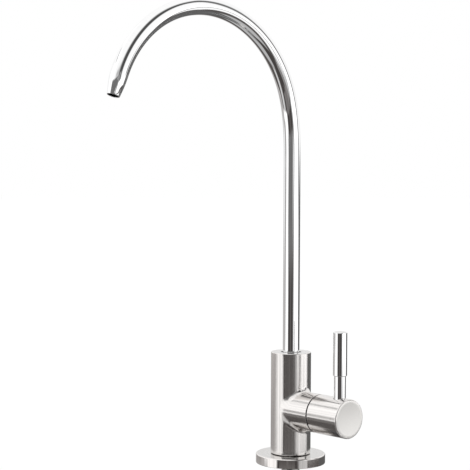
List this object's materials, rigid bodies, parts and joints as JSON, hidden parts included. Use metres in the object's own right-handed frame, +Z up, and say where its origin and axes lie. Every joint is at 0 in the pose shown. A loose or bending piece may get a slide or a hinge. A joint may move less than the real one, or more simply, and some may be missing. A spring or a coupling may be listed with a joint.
{
  "type": "drinking water filter tap",
  "caption": "Stainless steel drinking water tap with a swivelling gooseneck spout, a quarter-turn side lever, and a threaded shank with nut and push-in inlet under the deck.",
  "frame": {"origin": "on the body axis at the deck plane, under the base flange", "axes": "+Z up along the body axis, -Y the way the spout points at rest, +X along the handle axis"},
  "size_m": [0.0748, 0.1682, 0.3617],
  "materials": {
    "satin_steel": "brushed",
    "polished_steel": "polished",
    "brass": "turned",
    "ceramic": "lapped",
    "rubber": "moulded",
    "dark_plastic": "moulded",
    "white_plastic": "moulded",
    "grey_plastic": "moulded"
  },
  "bodies": {
    "base": {"tap_body": "satin_steel", "base_flange": "satin_steel", "base_gasket": "rubber", "threaded_shank": "satin_steel", "shank_seal": "rubber", "spout_bush": "dark_plastic", "cartridge_body": "brass", "cartridge_seal": "rubber", "cartridge_o_ring": "rubber", "fixed_ceramic_disc": "ceramic", "thrust_washer": "white_plastic", "handle_slip_ring": "dark_plastic", "rubber_washer": "rubber", "steel_washer": "polished_steel", "lock_washer": "polished_steel", "mounting_nut": "brass", "inlet_adapter": "white_plastic", "adapter_seal": "rubber", "adapter_o_ring": "rubber"},
    "spout": {"spout_tube": "polished_steel", "spout_spigot": "brass", "spout_o_rings": "rubber", "spout_snap_ring": "polished_steel"},
    "handle": {"handle_cap": "satin_steel", "handle_lever": "polished_steel", "cartridge_stem": "brass", "moving_ceramic_disc": "ceramic", "stem_o_rings": "rubber", "stem_clip": "polished_steel"},
    "collet": {"adapter_collet": "grey_plastic"}
  },
  "joints": [
    {"name": "spout_swivel", "type": "hinge", "parent": "base", "child": "spout", "pos_m": [0, 0, 0.072], "axis": [0, 0, 1], "continuous": true},
    {"name": "handle_turn", "type": "hinge", "parent": "base", "child": "handle", "pos_m": [0.0269, 0, 0.035], "axis": [1, 0, 0], "range_deg": [0, 90]},
    {"name": "collet_press", "type": "slide", "parent": "base", "child": "collet", "axis": [0, 0, 1], "range_m": [0, 0.0012]}
  ]
}
